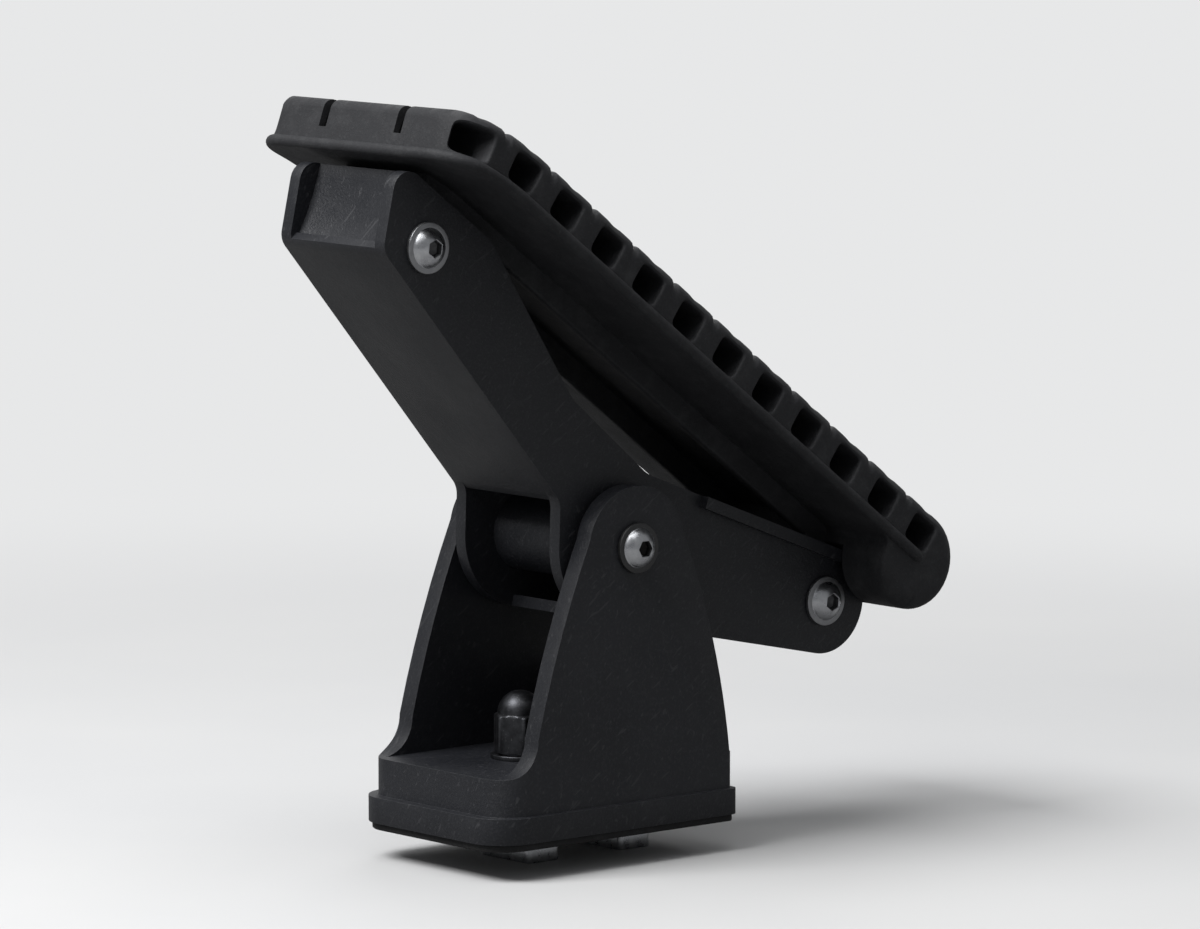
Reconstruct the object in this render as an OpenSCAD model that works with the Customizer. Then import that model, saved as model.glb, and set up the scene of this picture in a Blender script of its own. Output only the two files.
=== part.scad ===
// Kayak saddle carrier for one end of a roof crossbar.
// A rubber saddle pad hangs between the two arms of a rocking frame.
// The frame turns on a bolt through the two cheeks of a moulded tower.
// X runs along the crossbar, inboard positive, Y is the rocking axis and Z is up.
// The origin is on the crossbar, at the middle of the foot's underside.

/* [Saddle pad] */
// Width of the pad across its lips
pad_width = 86; // [78:1:94]
// Thickness of the pad between its top and its lower skin
pad_thick = 14.5; // [13.5:0.5:17]
// Height of the pad's top above the pivot, square to the saddle
pad_rise = 60; // [58:1:66]
// Run of the pad past the upper screw, along its curve
pad_overhang = 24; // [22:1:28]
// Radius of the roll that ends the pad inboard
roll_r = 13.5; // [12:0.5:15]
// Distance of the roll's centre past the lower screw
roll_offset = 7; // [5:1:9]
// Length of the stretch that curls down at the outboard end
curl_run = 30; // [24:1:34]
// Radius of that curl
curl_r = 95; // [80:5:130]
// Number of open cells along the side
cell_count = 12; // [8:1:12]
// Spacing of the cells
cell_pitch = 17.5; // [15:0.5:17.5]
// Length of one cell
cell_len = 9.5; // [7:0.5:11]
// Height of one cell
cell_high = 8; // [6:0.5:8.5]
// Thickness of the rubber between the cells and the pad's top
top_skin = 3; // [2.5:0.25:4]
// Radius of the pad's upper edges
pad_edge_r = 4; // [3:0.5:6]
// How far the lower lip stands out of the pad's side
lip_out = 1.6; // [1:0.1:2]
// Height of that lip
lip_high = 3.2; // [2.4:0.2:4]
// Radius of the pad's corners in plan at the outboard end
plan_corner_r = 12; // [8:1:16]
// Width of the two relief slits in the outboard end
slit_w = 3; // [2:0.5:4]
// Depth of the relief slits below the pad's top
slit_deep = 8; // [5:0.5:9]
// Distance between the relief slits
slit_gap = 31; // [24:1:44]
// Depth of the grip grooves across the pad's top
grip_deep = 1.2; // [0.8:0.1:1.5]
// Width of one grip groove
grip_w = 2.4; // [1.6:0.2:3]
// Depth of the two keels under the pad
keel_deep = 6; // [4:0.5:8]
// Thickness of one keel
keel_t = 3; // [2.5:0.5:4]

/* [Rocking frame] */
// Tilt of the saddle at rest, inboard end down, in degrees
saddle_tilt = 37; // [20:1:45]
// Distance of the upper screw outboard of the pivot, along the saddle
screw_out = 102; // [96:1:110]
// Distance of the lower screw inboard of the pivot, along the saddle
screw_in = 72; // [66:1:78]
// Height of both screws above the pivot, square to the saddle
screw_rise = 27; // [25:1:29]
// Width of the frame over its two side plates
frame_width = 43; // [41:0.5:43]
// Thickness of one side plate
frame_t = 4; // [3:0.5:5]
// Radius of the frame round the pivot
hub_r = 20.5; // [18:0.5:22]
// Radius of the inboard arm round the lower screw
arm_end_r = 14.5; // [12:0.5:16]
// Height of the outboard arm's top edge above the upper screw
arm_top = 13.5; // [12:0.5:14.5]
// Distance of the outboard arm's tip past the upper screw
arm_tip = 21.5; // [18:0.5:22]
// Thickness of the frame's cross webs
web_t = 3; // [2.5:0.5:4]
// Hollow of the curved end web
web_sag = 1; // [0.5:0.5:1.5]
// How far the end web's foot is set back, which leaves a ledge under it
web_inset = 2; // [1:0.5:2.5]
// How much further its top is set back
web_lean = 4; // [3:0.5:4.5]
// Overhang of the flange on the inboard arm
flange_out = 2.6; // [2:0.2:3]
// Thickness of that flange
flange_t = 3.2; // [2.6:0.2:4]

/* [Tower] */
// Height of the pivot above the crossbar
pivot_h = 77; // [76:1:86]
// Thickness of one cheek
cheek_t = 5.5; // [4.5:0.5:7]
// Radius of the cheeks round the pivot
cheek_top_r = 16.5; // [14:0.5:18]
// Distance of the cheek's foot outboard of the pivot
cheek_out = 34; // [30:1:35]
// Distance of the cheek's foot inboard of the pivot
cheek_in = 32; // [30:1:33]
// Length of the foot's upper step outboard of the pivot
step_out = 46; // [44:1:49]
// Length of the foot's upper step inboard of the pivot
step_in = 34; // [34:1:38]
// Height of the foot's upper step above the crossbar
step_top = 19; // [17:0.5:20]
// Height of the foot's lower flange above the crossbar
flange_top = 9; // [7:0.5:11]
// How far the lower flange stands out at the foot's outboard end
flange_proud = 3; // [2:0.5:4]
// How far it stands out on the foot's other sides
flange_side = 1.5; // [1.5:0.5:3]
// Plan radius of the foot's outboard corners
foot_corner_r = 9; // [6:0.5:10]
// Plan radius of the foot's inboard corners
foot_heel_r = 1.5; // [1:0.25:2]
// How far the cheek's inboard edge bows out
cheek_bow = 2.4; // [0:0.2:4]
// Radius of the blend between the cheeks and the foot
blend_r = 10; // [8:0.5:10.5]
// Height of the cross wall above the crossbar
wall_top = 37; // [30:1:38]
// Thickness of the cross wall
wall_t = 4; // [3:0.5:5]
// Thickness of the rubber under the foot
underlay_t = 2; // [1.5:0.5:3]

/* [Fasteners] */
// Diameter of the pivot bolt and the pad screws
bolt_d = 6; // [5:1:6]
// Diameter of their button heads
head_d = 11; // [10:0.5:12]
// Height of their button heads
head_high = 3.4; // [3:0.1:3.8]
// Width of their hexagon sockets across flats
socket_af = 4; // [3:0.5:4.5]
// Diameter of their washers
washer_d = 13.5; // [12.5:0.5:14]
// Thickness of their washers
washer_t = 1.2; // [1:0.1:1.6]
// Width of their lock nuts across flats
nut_af = 10; // [9:0.5:11]
// Height of their lock nuts
nut_high = 6; // [5:0.5:7]
// Outer diameter of the spacer sleeves
sleeve_d = 10; // [9:0.5:10.5]
// Outer diameter of the pivot bushes
bush_d = 13; // [12.5:0.5:14]
// Thickness of the flange on a pivot bush
bush_flange_t = 1.6; // [1.2:0.1:1.8]
// Distance between the two channel bolts
channel_spacing = 32; // [30:1:34]
// Diameter of a channel bolt's plain neck
channel_bolt_d = 8; // [6:1:8]
// Length of the T-shaped head across the crossbar
tee_len = 20; // [18:1:22]
// Width of the T-shaped head along the crossbar
tee_w = 11; // [10:0.5:12]
// Thickness of the T-shaped head
tee_t = 4; // [3:0.5:5]
// Room between the foot and the T-shaped head for the channel's lips
lip_room = 4; // [3:0.5:6]
// Width of a channel bolt's cap nut across flats
cap_af = 13; // [12:0.5:14]
// Height of a channel bolt's cap nut
cap_high = 17; // [14:0.5:18]

/* [Hidden] */
$fn = 64;

// Clearances
run_gap = 0.05; // round parts that turn or slide on each other
bolt_gap = 0.2; // radial room round a bolt in its hole
side_gap = 0.5; // room between the pad and the frame's side plates
cheek_gap = 0.4; // room between a bush's flange and a cheek
past = 1; // how far a cut runs past a face

// Colours as the photograph shows them
moulding = [0.09, 0.095, 0.115];
rubber = [0.065, 0.068, 0.08];
zinc = [0.78, 0.79, 0.81];
black_zinc = [0.16, 0.165, 0.18];
nylon = [0.86, 0.86, 0.82];
insert_blue = [0.30, 0.42, 0.62];

// Frame
frame_half = frame_width / 2;
frame_in = frame_half - frame_t;
screw_a = [-screw_out, screw_rise];
screw_b = [screw_in, screw_rise];
arm_tip_p = [-screw_out - arm_tip, screw_rise + arm_top];
heel_in = 10; // the heel lies this far inboard of the arm's tip
heel_drop = 8.5; // and this far below the upper screw
heel_p = [arm_tip_p[0] + heel_in, screw_rise - heel_drop];
arm_lean = atan2(screw_rise, screw_in);
arm_drop = acos((hub_r - arm_end_r) / norm(screw_b));
flange_a = hub_r * [cos(arm_lean + arm_drop), sin(arm_lean + arm_drop)];
flange_b = screw_b + arm_end_r * [cos(arm_lean + arm_drop), sin(arm_lean + arm_drop)];
waist_p = flange_a + [3, 0.9];
throat_deg = 215; // the outboard arm's lower edge meets the hub here
throat_run = 12.5; // length of the straight edge between the hub and the throat
throat_p = hub_r * [cos(throat_deg), sin(throat_deg)] + throat_run * [sin(throat_deg), -cos(throat_deg)];
neck_run = 16.5; // the outboard arm's upper edge bends this far outboard of the hub
neck_p = [-hub_r - neck_run, hub_r + 2];
flange_lead = 24; // the flange starts this far along the inboard arm's upper edge
shoulder_back = 17; // the arm's top edge starts this far inboard of the upper screw
shoulder_p = [-screw_out + shoulder_back, screw_rise + arm_top];

// Pad
wall_half = pad_width / 2 - lip_out;
pad_mid = pad_rise - pad_thick / 2;
pad_under = pad_rise - pad_thick;
roll_x = screw_in + roll_offset;
roll_z = pad_rise - roll_r;
pad_run = roll_x + screw_out + pad_overhang;
straight_run = pad_run - curl_run;
curl_x = roll_x - straight_run;
curl_deg = curl_run / curl_r * 180 / PI;
cell_end = 8; // the outermost cell's centre lies this far from the pad's end
cell_r = 2;
cell_drop = pad_rise - top_skin - cell_high / 2 - pad_mid;
lug_half = frame_in - side_gap;
lug_r = 7;
sleeve_r = sleeve_d / 2;
bolt_r = bolt_d / 2;

// Tower
tower_in = frame_half + bush_flange_t + cheek_gap;
tower_gap = 2 * tower_in;
tower_half = tower_in + cheek_t;
wall_x = cheek_in - 7;
pivot_head_y = tower_half + washer_t;
pad_head_y = frame_half + washer_t;
channel_r = channel_bolt_d / 2;
thread_r = channel_r * 0.9;
nut_seat = step_top;

// The direction at an angle a, in degrees
function unit(a) = [cos(a), sin(a)];

// A point set a distance from p towards q
function toward(p, q, d) = p + (q - p) * d / norm(q - p);

// Points along an arc
function arc(c, r, low, high, steps) = [for (i = [0:steps]) c + r * unit(low + (high - low) * i / steps)];

// The arc that rounds corner p between its neighbours a and b
function corner_arc(a, p, b, r, steps) =
    let (
        u = (a - p) / norm(a - p),
        v = (b - p) / norm(b - p),
        half = acos(u * v) / 2,
        mid = (u + v) / norm(u + v),
        c = p + mid * r / sin(half),
        s = p + u * r / tan(half) - c,
        e = p + v * r / tan(half) - c,
        a0 = atan2(s[1], s[0]),
        turn = atan2(s[0] * e[1] - s[1] * e[0], s * e)
    )
    [for (i = [0:steps]) c + r * [cos(a0 + turn * i / steps), sin(a0 + turn * i / steps)]];

// A closed outline with each corner rounded by its own radius; 0 leaves it sharp
function rounded(points, radii, steps = 8) =
    let (n = len(points))
    [
        for (i = [0:n - 1])
            let (a = points[(i + n - 1) % n], b = points[(i + 1) % n])
            each radii[i] > 0 ? corner_arc(a, points[i], b, radii[i], steps) : [points[i]]
    ];

// An outline in the X-Z plane, made solid from y = low to y = high
module plate(low, high) {
    translate([0, high, 0]) rotate([90, 0, 0]) linear_extrude(height = high - low) children();
}

// The same plate on both sides of the middle
module plates(low, high) {
    plate(low, high) children();
    plate(-high, -low) children();
}

// A section in the Y-Z plane, run from x = low to x = high
module run(low, high) {
    translate([low, 0, 0]) rotate([90, 0, 90]) linear_extrude(height = high - low) children();
}

// A round bar along Y from y = low to y = high
module bar(r, low, high) {
    translate([0, high, 0]) rotate([90, 0, 0]) cylinder(r = r, h = high - low);
}

// Children placed in the saddle's own frame: X along the saddle, Z square to it
module in_saddle() {
    translate([0, 0, pivot_h]) rotate([0, saddle_tilt, 0]) children();
}

// Children placed at a point of the X-Z plane
module at(p) {
    translate([p[0], 0, p[1]]) children();
}

// Two circles joined by their outer tangents
module tapered_bar(p, rp, q, rq) {
    d = norm(q - p);
    base = atan2(q[1] - p[1], q[0] - p[0]);
    lean = acos((rp - rq) / d);
    translate(p) circle(r = rp);
    translate(q) circle(r = rq);
    polygon([
        for (s = [1, -1]) p + rp * [cos(base + s * lean), sin(base + s * lean)],
        for (s = [-1, 1]) q + rq * [cos(base + s * lean), sin(base + s * lean)]
    ]);
}

// A rectangle about the origin with true round corners
module soft_square(w, h, r) {
    square([w - 2 * r, h], center = true);
    square([w, h - 2 * r], center = true);
    for (x = [-1, 1], y = [-1, 1]) translate([x * (w / 2 - r), y * (h / 2 - r)]) circle(r = r);
}

// What is cut off a square corner at the origin to round it; the corner points to -X, -Y
module corner_waste(r) {
    difference() {
        translate([-past, -past]) square(r + past);
        translate([r, r]) circle(r = r);
        translate([r, -2 * past]) square(r + 4 * past);
        translate([-2 * past, r]) square(r + 4 * past);
    }
}

// Points from p to q on a shallow bow that stands out to the left
function bowed(p, q, bow, steps) =
    let (d = (q - p) / norm(q - p), n = [-d[1], d[0]])
    [for (i = [0:steps]) let (k = i / steps) p + (q - p) * k + n * bow * 4 * k * (1 - k)];

// Side view of the tower above the foot's flange, with its blends
module tower_side() {
    base = step_top - 0.01;
    translate([0, pivot_h]) circle(r = cheek_top_r);
    difference() {
        polygon(concat(
            bowed([-cheek_out, base + blend_r], [-cheek_top_r * 0.98, pivot_h + cheek_top_r * 0.2], cheek_bow / 2, 6),
            bowed([cheek_top_r * 0.98, pivot_h + cheek_top_r * 0.2], [cheek_in + 1, base], cheek_bow, 12),
            [[-cheek_out - blend_r, base]]
        ));
        translate([-cheek_out - blend_r, base + blend_r]) circle(r = blend_r);
    }
    translate([-step_out, flange_top]) square([step_out + step_in, step_top - flange_top]);
}

// End view of the room between the cheeks, above the foot's upper step
module tower_room() {
    translate([-tower_in, step_top]) square([tower_gap, pivot_h + cheek_top_r]);
}

// Plan of the foot, grown outboard by one amount and on its other sides by another
module foot_plan(outboard, side) {
    far_x = -step_out - outboard;
    near_x = step_in + side;
    half = tower_half + side;
    corner = foot_corner_r + side;
    heel = foot_heel_r + side;
    polygon(rounded(
        [[far_x, -half], [near_x, -half], [near_x, half], [far_x, half]],
        [corner, heel, heel, corner],
        12
    ));
}

// The cross wall at the inboard side, with its ribs, between the cheeks
module cross_wall() {
    rib_t = 3;
    rib_out = 5;
    translate([wall_x, -tower_in - past, step_top - past]) {
        cube([wall_t, tower_gap + 2 * past, wall_top - step_top + past]);
    }
    for (y = [-12, 0, 12]) {
        plate(y - rib_t / 2, y + rib_t / 2) polygon([
            [wall_x + wall_t - 0.5, step_top - past],
            [wall_x + wall_t + rib_out, step_top - past],
            [wall_x + wall_t + rib_out, step_top],
            [wall_x + wall_t, wall_top - 2],
            [wall_x + wall_t - 0.5, wall_top - 2]
        ]);
    }
}

module tower_body() {
    color(moulding) difference() {
        union() {
            translate([0, 0, underlay_t]) linear_extrude(height = flange_top - underlay_t) {
                foot_plan(flange_proud, flange_side);
            }
            difference() {
                intersection() {
                    plate(-tower_half - past, tower_half + past) tower_side();
                    linear_extrude(height = pivot_h + cheek_top_r + past) foot_plan(0, 0);
                }
                run(-step_out - past, step_in + past) tower_room();
            }
            cross_wall();
        }
        at([0, pivot_h]) bar(bolt_r + bolt_gap, -tower_half - past, tower_half + past);
        for (x = [-1, 1]) translate([x * channel_spacing / 2, 0, 0]) {
            cylinder(r = channel_r + bolt_gap, h = step_top + past);
        }
    }
}

module foot_underlay() {
    color(rubber) difference() {
        linear_extrude(height = underlay_t) foot_plan(flange_proud - 1, flange_side - 1);
        for (x = [-1, 1]) translate([x * channel_spacing / 2, 0, -past]) {
            cylinder(r = channel_r + bolt_gap, h = underlay_t + 2 * past);
        }
    }
}

// One hexagon about Z
module hexagon(af, h) {
    cylinder(r = af / sqrt(3), h = h, $fn = 6);
}

module channel_bolts() {
    color(zinc) for (x = [-1, 1]) translate([x * channel_spacing / 2, 0, 0]) {
        translate([0, 0, -lip_room - tee_t]) linear_extrude(height = tee_t) soft_square(tee_w, tee_len, 1.5);
        translate([0, 0, -lip_room]) cylinder(r = channel_r, h = lip_room);
        cylinder(r = thread_r, h = nut_seat + washer_t + cap_high - 4);
    }
}

module channel_washers() {
    color(black_zinc) for (x = [-1, 1]) translate([x * channel_spacing / 2, 0, nut_seat]) difference() {
        cylinder(r = channel_r * 2, h = washer_t);
        translate([0, 0, -past]) cylinder(r = channel_r + bolt_gap, h = washer_t + 2 * past);
    }
}

module channel_cap_nuts() {
    dome_r = cap_af / 2 - 0.4;
    dome_z = cap_high - dome_r;
    color(black_zinc) for (x = [-1, 1]) translate([x * channel_spacing / 2, 0, nut_seat + washer_t]) difference() {
        union() {
            hexagon(cap_af, dome_z);
            intersection() {
                translate([0, 0, dome_z]) sphere(r = dome_r);
                cylinder(r = cap_af, h = cap_high - 0.15);
            }
        }
        translate([0, 0, -past]) cylinder(r = thread_r + run_gap, h = cap_high - 3 + past);
    }
}

// A button head along -Y, its seat at y = 0
module button_head() {
    crown = (head_d * head_d / 4 + head_high * head_high) / (2 * head_high);
    rotate([90, 0, 0]) difference() {
        intersection() {
            translate([0, 0, head_high - crown]) sphere(r = crown);
            cylinder(r = head_d / 2 - 0.01, h = head_high + past);
        }
        translate([0, 0, head_high - 2]) hexagon(socket_af, 2 + past);
    }
}

// A screw along Y whose head seats at y = -seat and whose shank ends at y = tip
module screw(seat, tip) {
    translate([0, -seat, 0]) button_head();
    bar(bolt_r, -seat - 0.5, tip);
}

// A washer along Y from y = low
module washer(low) {
    difference() {
        bar(washer_d / 2, low, low + washer_t);
        bar(bolt_r + bolt_gap, low - past, low + washer_t + past);
    }
}

// A lock nut along +Y from y = low, with the groove that holds its ring
module lock_nut(low) {
    difference() {
        union() {
            translate([0, low, 0]) rotate([-90, 0, 0]) hexagon(nut_af, nut_high - 1.6);
            bar(nut_af / 2 - 0.4, low, low + nut_high);
        }
        bar(bolt_r + run_gap, low - past, low + nut_high + past);
        bar(nut_af / 2 - 1.2, low + nut_high - 1.6, low + nut_high + past);
    }
}

// The ring of a lock nut from y = low
module nut_ring(low) {
    difference() {
        bar(nut_af / 2 - 1.2 - run_gap, low + nut_high - 1.6, low + nut_high - 0.3);
        bar(bolt_r + run_gap, low, low + nut_high + past);
    }
}

module pivot_bolt() {
    color(zinc) at([0, pivot_h]) screw(pivot_head_y, pivot_head_y + nut_high + 1);
}

module pivot_washers() {
    color(zinc) at([0, pivot_h]) {
        washer(-pivot_head_y);
        washer(tower_half);
    }
}

module pivot_lock_nut() {
    color(zinc) at([0, pivot_h]) lock_nut(pivot_head_y);
}

module pivot_nut_ring() {
    color(insert_blue) at([0, pivot_h]) nut_ring(pivot_head_y);
}

// A tube along Y, centred on the middle plane
module sleeve(length) {
    difference() {
        bar(sleeve_r, -length / 2, length / 2);
        bar(bolt_r + bolt_gap, -length / 2 - past, length / 2 + past);
    }
}

module pivot_sleeve() {
    color(zinc) at([0, pivot_h]) sleeve(tower_gap);
}

// A flanged bush on the side that s gives, 1 far and -1 near
module pivot_bush(s) {
    depth = 10;
    flange_d = bush_d + 6;
    a = s * (frame_half - depth);
    b = s * frame_half;
    c = s * (frame_half + bush_flange_t);
    color(nylon) at([0, pivot_h]) difference() {
        union() {
            bar(bush_d / 2, min(a, b), max(a, b));
            bar(flange_d / 2, min(b, c), max(b, c));
        }
        bar(sleeve_r + run_gap, min(a, c) - past, max(a, c) + past);
    }
}

// Side view of the rocking frame: hub, inboard arm, then the outboard arm
module frame_outline() {
    polygon(concat(
        arc([0, 0], hub_r, throat_deg, 360 + arm_lean - arm_drop, 24),
        arc(screw_b, arm_end_r, arm_lean - arm_drop, arm_lean + arm_drop, 40),
        corner_arc(flange_b, waist_p, neck_p, 12, 8),
        corner_arc(waist_p, neck_p, shoulder_p, 14, 8),
        corner_arc(neck_p, shoulder_p, arm_tip_p, 8, 8),
        corner_arc(shoulder_p, arm_tip_p, heel_p, 5, 8),
        corner_arc(arm_tip_p, heel_p, throat_p, 5, 8),
        corner_arc(heel_p, throat_p, hub_r * unit(throat_deg), 6, 8)
    ));
}

// A strip of thickness t along the edge p-q, on its left
module edge_strip(p, q, t) {
    d = (q - p) / norm(q - p);
    n = [-d[1], d[0]];
    polygon([p, q, q + n * t, p + n * t]);
}

// The hollow web that closes the outboard arm's end, leaning inboard at its top
module end_web_outline() {
    edge = heel_p - arm_tip_p;
    inward = [-edge[1], edge[0]] / norm(edge);
    high = arm_tip_p + inward * (web_inset + web_lean);
    low = heel_p + inward * web_inset;
    d = (low - high) / norm(low - high);
    n = [-d[1], d[0]];
    span = norm(low - high) / 2;
    r = (span * span + web_sag * web_sag) / (2 * web_sag);
    c = (high + low) / 2 + n * (web_sag - r);
    intersection() {
        difference() {
            translate(c) circle(r = r + web_t);
            translate(c) circle(r = r);
        }
        frame_outline();
    }
}

// The floor webs under both arms
module floor_outline() {
    under = unit(arm_lean - arm_drop);
    intersection() {
        union() {
            edge_strip(heel_p, throat_p, web_t);
            edge_strip(hub_r * under, screw_b + arm_end_r * under, web_t);
        }
        frame_outline();
    }
}

// The flange along the top of the inboard arm
module flange_outline() {
    edge_strip(flange_b, toward(flange_a, flange_b, flange_lead), flange_t);
}

module saddle_frame() {
    hub_tube_r = bush_d / 2 + 4;
    rib_x = -screw_out / 2 - 10;
    floor_slope = (throat_p[1] - heel_p[1]) / (throat_p[0] - heel_p[0]);
    rib_low = heel_p[1] + (rib_x - heel_p[0]) * floor_slope + web_t * 0.4;
    color(moulding) in_saddle() difference() {
        union() {
            plates(frame_in, frame_half) frame_outline();
            plates(frame_half - 0.5, frame_half + flange_out) flange_outline();
            plate(-frame_in - 0.5, frame_in + 0.5) {
                end_web_outline();
                floor_outline();
                circle(r = hub_tube_r);
                translate([rib_x, rib_low]) square([web_t, screw_rise - rib_low]);
            }
        }
        bar(bush_d / 2 + run_gap, -frame_half - past, frame_half + past);
        for (p = [screw_a, screw_b]) at(p) bar(bolt_r + bolt_gap, -frame_half - past, frame_half + past);
    }
}

// Cross-section of the pad: x is across, y is square to the pad, about its middle
module pad_section() {
    top = pad_thick / 2;
    difference() {
        translate([-wall_half, -top]) square([2 * wall_half, pad_thick]);
        for (s = [-1, 1]) scale([s, -1]) translate([-wall_half, -top]) corner_waste(pad_edge_r);
    }
    for (s = [-1, 1]) scale([s, 1]) {
        translate([0, -top]) square([wall_half + lip_out - lip_high / 2, lip_high]);
        translate([wall_half + lip_out - lip_high / 2, -top + lip_high / 2]) circle(r = lip_high / 2);
    }
}

// Children placed a distance s outboard of the roll along the pad, Z square to it
module on_pad(s) {
    if (s <= straight_run) {
        translate([roll_x - s, 0, pad_mid]) children();
    } else {
        translate([curl_x, 0, pad_mid - curl_r])
            rotate([0, -(s - straight_run) / curl_r * 180 / PI, 0])
            translate([0, 0, curl_r]) children();
    }
}

// The pad's roll, with the same edges as its sides
module pad_roll() {
    translate([roll_x, 0, roll_z]) rotate([90, 0, 0]) rotate_extrude() difference() {
        translate([0, -wall_half]) square([roll_r, 2 * wall_half]);
        for (s = [-1, 1]) translate([roll_r, s * wall_half]) scale([-1, -s]) corner_waste(pad_edge_r);
    }
}

// One lug that holds a sleeve between the frame's side plates
module lug(p, foot_low, foot_high) {
    plate(-lug_half, lug_half) {
        translate(p) circle(r = lug_r);
        polygon([
            p + [-lug_r * 0.98, -lug_r * 0.2],
            p + [lug_r * 0.98, -lug_r * 0.2],
            [foot_high, pad_under + 1],
            [foot_low, pad_under + 1]
        ]);
    }
}

// Slots in the roll's underside for the ends of the frame's side plates
module arm_notches() {
    reach = arm_end_r + side_gap;
    plates(lug_half, frame_half + flange_out + side_gap) {
        translate(screw_b) circle(r = reach);
        translate(screw_b + [-roll_r - 2, -1]) square([roll_r + 2, reach + 1]);
    }
}

// The two keels under the pad, from lug to lug
module keels() {
    plates(lug_half - keel_t, lug_half) polygon([
        [-screw_out, pad_under - keel_deep],
        [screw_in, pad_under - keel_deep],
        [screw_in, pad_under + 1],
        [-screw_out, pad_under + 1]
    ]);
}

module saddle_pad() {
    color(rubber) in_saddle() difference() {
        union() {
            run(curl_x, roll_x) translate([0, pad_mid]) pad_section();
            translate([curl_x, 0, pad_mid - curl_r]) rotate([90, 0, 0]) rotate([0, 0, 90])
                rotate_extrude(angle = curl_deg, $fn = 256) translate([curl_r, 0]) rotate(-90) pad_section();
            pad_roll();
            lug(screw_a, -screw_out - 8, -screw_out + 16);
            lug(screw_b, screw_in - 16, screw_in + 12);
            keels();
        }
        for (i = [0:cell_count - 1]) on_pad(pad_run - cell_end - i * cell_pitch) translate([0, 0, cell_drop]) {
            plate(-pad_width, pad_width) soft_square(cell_len, cell_high, cell_r);
        }
        for (i = [0:cell_count - 2]) on_pad(pad_run - cell_end - (i + 0.5) * cell_pitch) {
            translate([-grip_w / 2, -pad_width, pad_thick / 2 - grip_deep]) cube([grip_w, 2 * pad_width, 5]);
        }
        on_pad(pad_run) {
            for (s = [-1, 1]) {
                translate([-past, s * slit_gap / 2 - slit_w / 2, pad_thick / 2 - slit_deep]) {
                    cube([cell_end + past, slit_w, slit_deep + past]);
                }
                translate([0, s * pad_width / 2, -pad_thick]) scale([1, -s, 1]) {
                    linear_extrude(height = 2 * pad_thick) corner_waste(plan_corner_r);
                }
            }
        }
        for (p = [screw_a, screw_b]) at(p) bar(sleeve_r + run_gap, -lug_half - past, lug_half + past);
        arm_notches();
    }
}

module pad_screws() {
    color(zinc) in_saddle() for (p = [screw_a, screw_b]) at(p) screw(pad_head_y, pad_head_y + nut_high + 1);
}

module pad_washers() {
    color(zinc) in_saddle() for (p = [screw_a, screw_b]) at(p) {
        washer(-pad_head_y);
        washer(frame_half);
    }
}

module pad_lock_nuts() {
    color(zinc) in_saddle() for (p = [screw_a, screw_b]) at(p) lock_nut(pad_head_y);
}

module pad_nut_rings() {
    color(insert_blue) in_saddle() for (p = [screw_a, screw_b]) at(p) nut_ring(pad_head_y);
}

module pad_sleeve(p) {
    color(zinc) in_saddle() at(p) sleeve(2 * frame_in);
}

tower_body();
foot_underlay();
channel_bolts();
channel_washers();
channel_cap_nuts();
pivot_bolt();
pivot_washers();
pivot_lock_nut();
pivot_nut_ring();
pivot_sleeve();
pivot_bush(-1);  // pivot_bush_near
pivot_bush(1);  // pivot_bush_far
saddle_frame();
saddle_pad();
pad_screws();
pad_washers();
pad_lock_nuts();
pad_nut_rings();
pad_sleeve(screw_a);  // pad_sleeve_upper
pad_sleeve(screw_b);  // pad_sleeve_lower
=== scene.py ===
# %% [markdown]
# # A kayak saddle carrier, dressed
# This lesson dresses a roof rack saddle: a rubber pad hung between the arms of a
# rocking frame, which turns on a bolt through a moulded tower.
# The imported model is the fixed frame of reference. It gives each piece its place, so
# the looks can be worked out on top of it with no fitting by eye.

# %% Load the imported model
import math

import bmesh
import bpy
import numpy as np
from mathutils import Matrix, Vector


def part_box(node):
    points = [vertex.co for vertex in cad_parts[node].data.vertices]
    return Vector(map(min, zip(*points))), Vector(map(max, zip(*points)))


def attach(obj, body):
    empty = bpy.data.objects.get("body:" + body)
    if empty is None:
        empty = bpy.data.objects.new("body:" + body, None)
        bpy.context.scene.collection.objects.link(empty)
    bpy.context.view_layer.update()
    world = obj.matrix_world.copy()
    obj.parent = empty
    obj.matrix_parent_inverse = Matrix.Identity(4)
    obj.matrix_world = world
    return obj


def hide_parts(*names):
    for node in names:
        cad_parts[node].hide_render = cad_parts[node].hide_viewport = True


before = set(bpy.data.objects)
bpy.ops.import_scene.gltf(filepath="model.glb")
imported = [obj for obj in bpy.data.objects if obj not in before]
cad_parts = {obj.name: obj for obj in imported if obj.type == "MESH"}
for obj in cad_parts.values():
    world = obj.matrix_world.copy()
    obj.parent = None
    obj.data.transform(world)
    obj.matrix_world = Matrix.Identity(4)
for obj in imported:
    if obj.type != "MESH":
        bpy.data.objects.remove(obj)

scene = bpy.context.scene
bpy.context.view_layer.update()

# %% [markdown]
# ## The camera
# The photograph looks at the carrier from the outboard end, a little above the bar.
# The camera's back vector is worked out from those two angles. A long lens keeps the
# perspective as weak as it is in the photograph: its length is the sensor's width times
# the distance, over the width that the picture spans at the object.

# %% Place the camera
MM = 0.001
view_turn = math.radians(-40.5)
view_lift = math.radians(7.0)
view_far = 1.9
picture_wide = 0.322
sensor_wide = 36.0
target = Vector((0.012, 0.0, 0.0955))


def outward(turn, lift):
    """Unit vector at an azimuth and elevation: (sin a cos e, -cos a cos e, sin e)."""
    return Vector((math.sin(turn) * math.cos(lift), -math.cos(turn) * math.cos(lift),
                   math.sin(lift)))


def put(name, data):
    """Make an object of some data and put it into the scene."""
    made = bpy.data.objects.new(name, data)
    scene.collection.objects.link(made)
    return made


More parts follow.
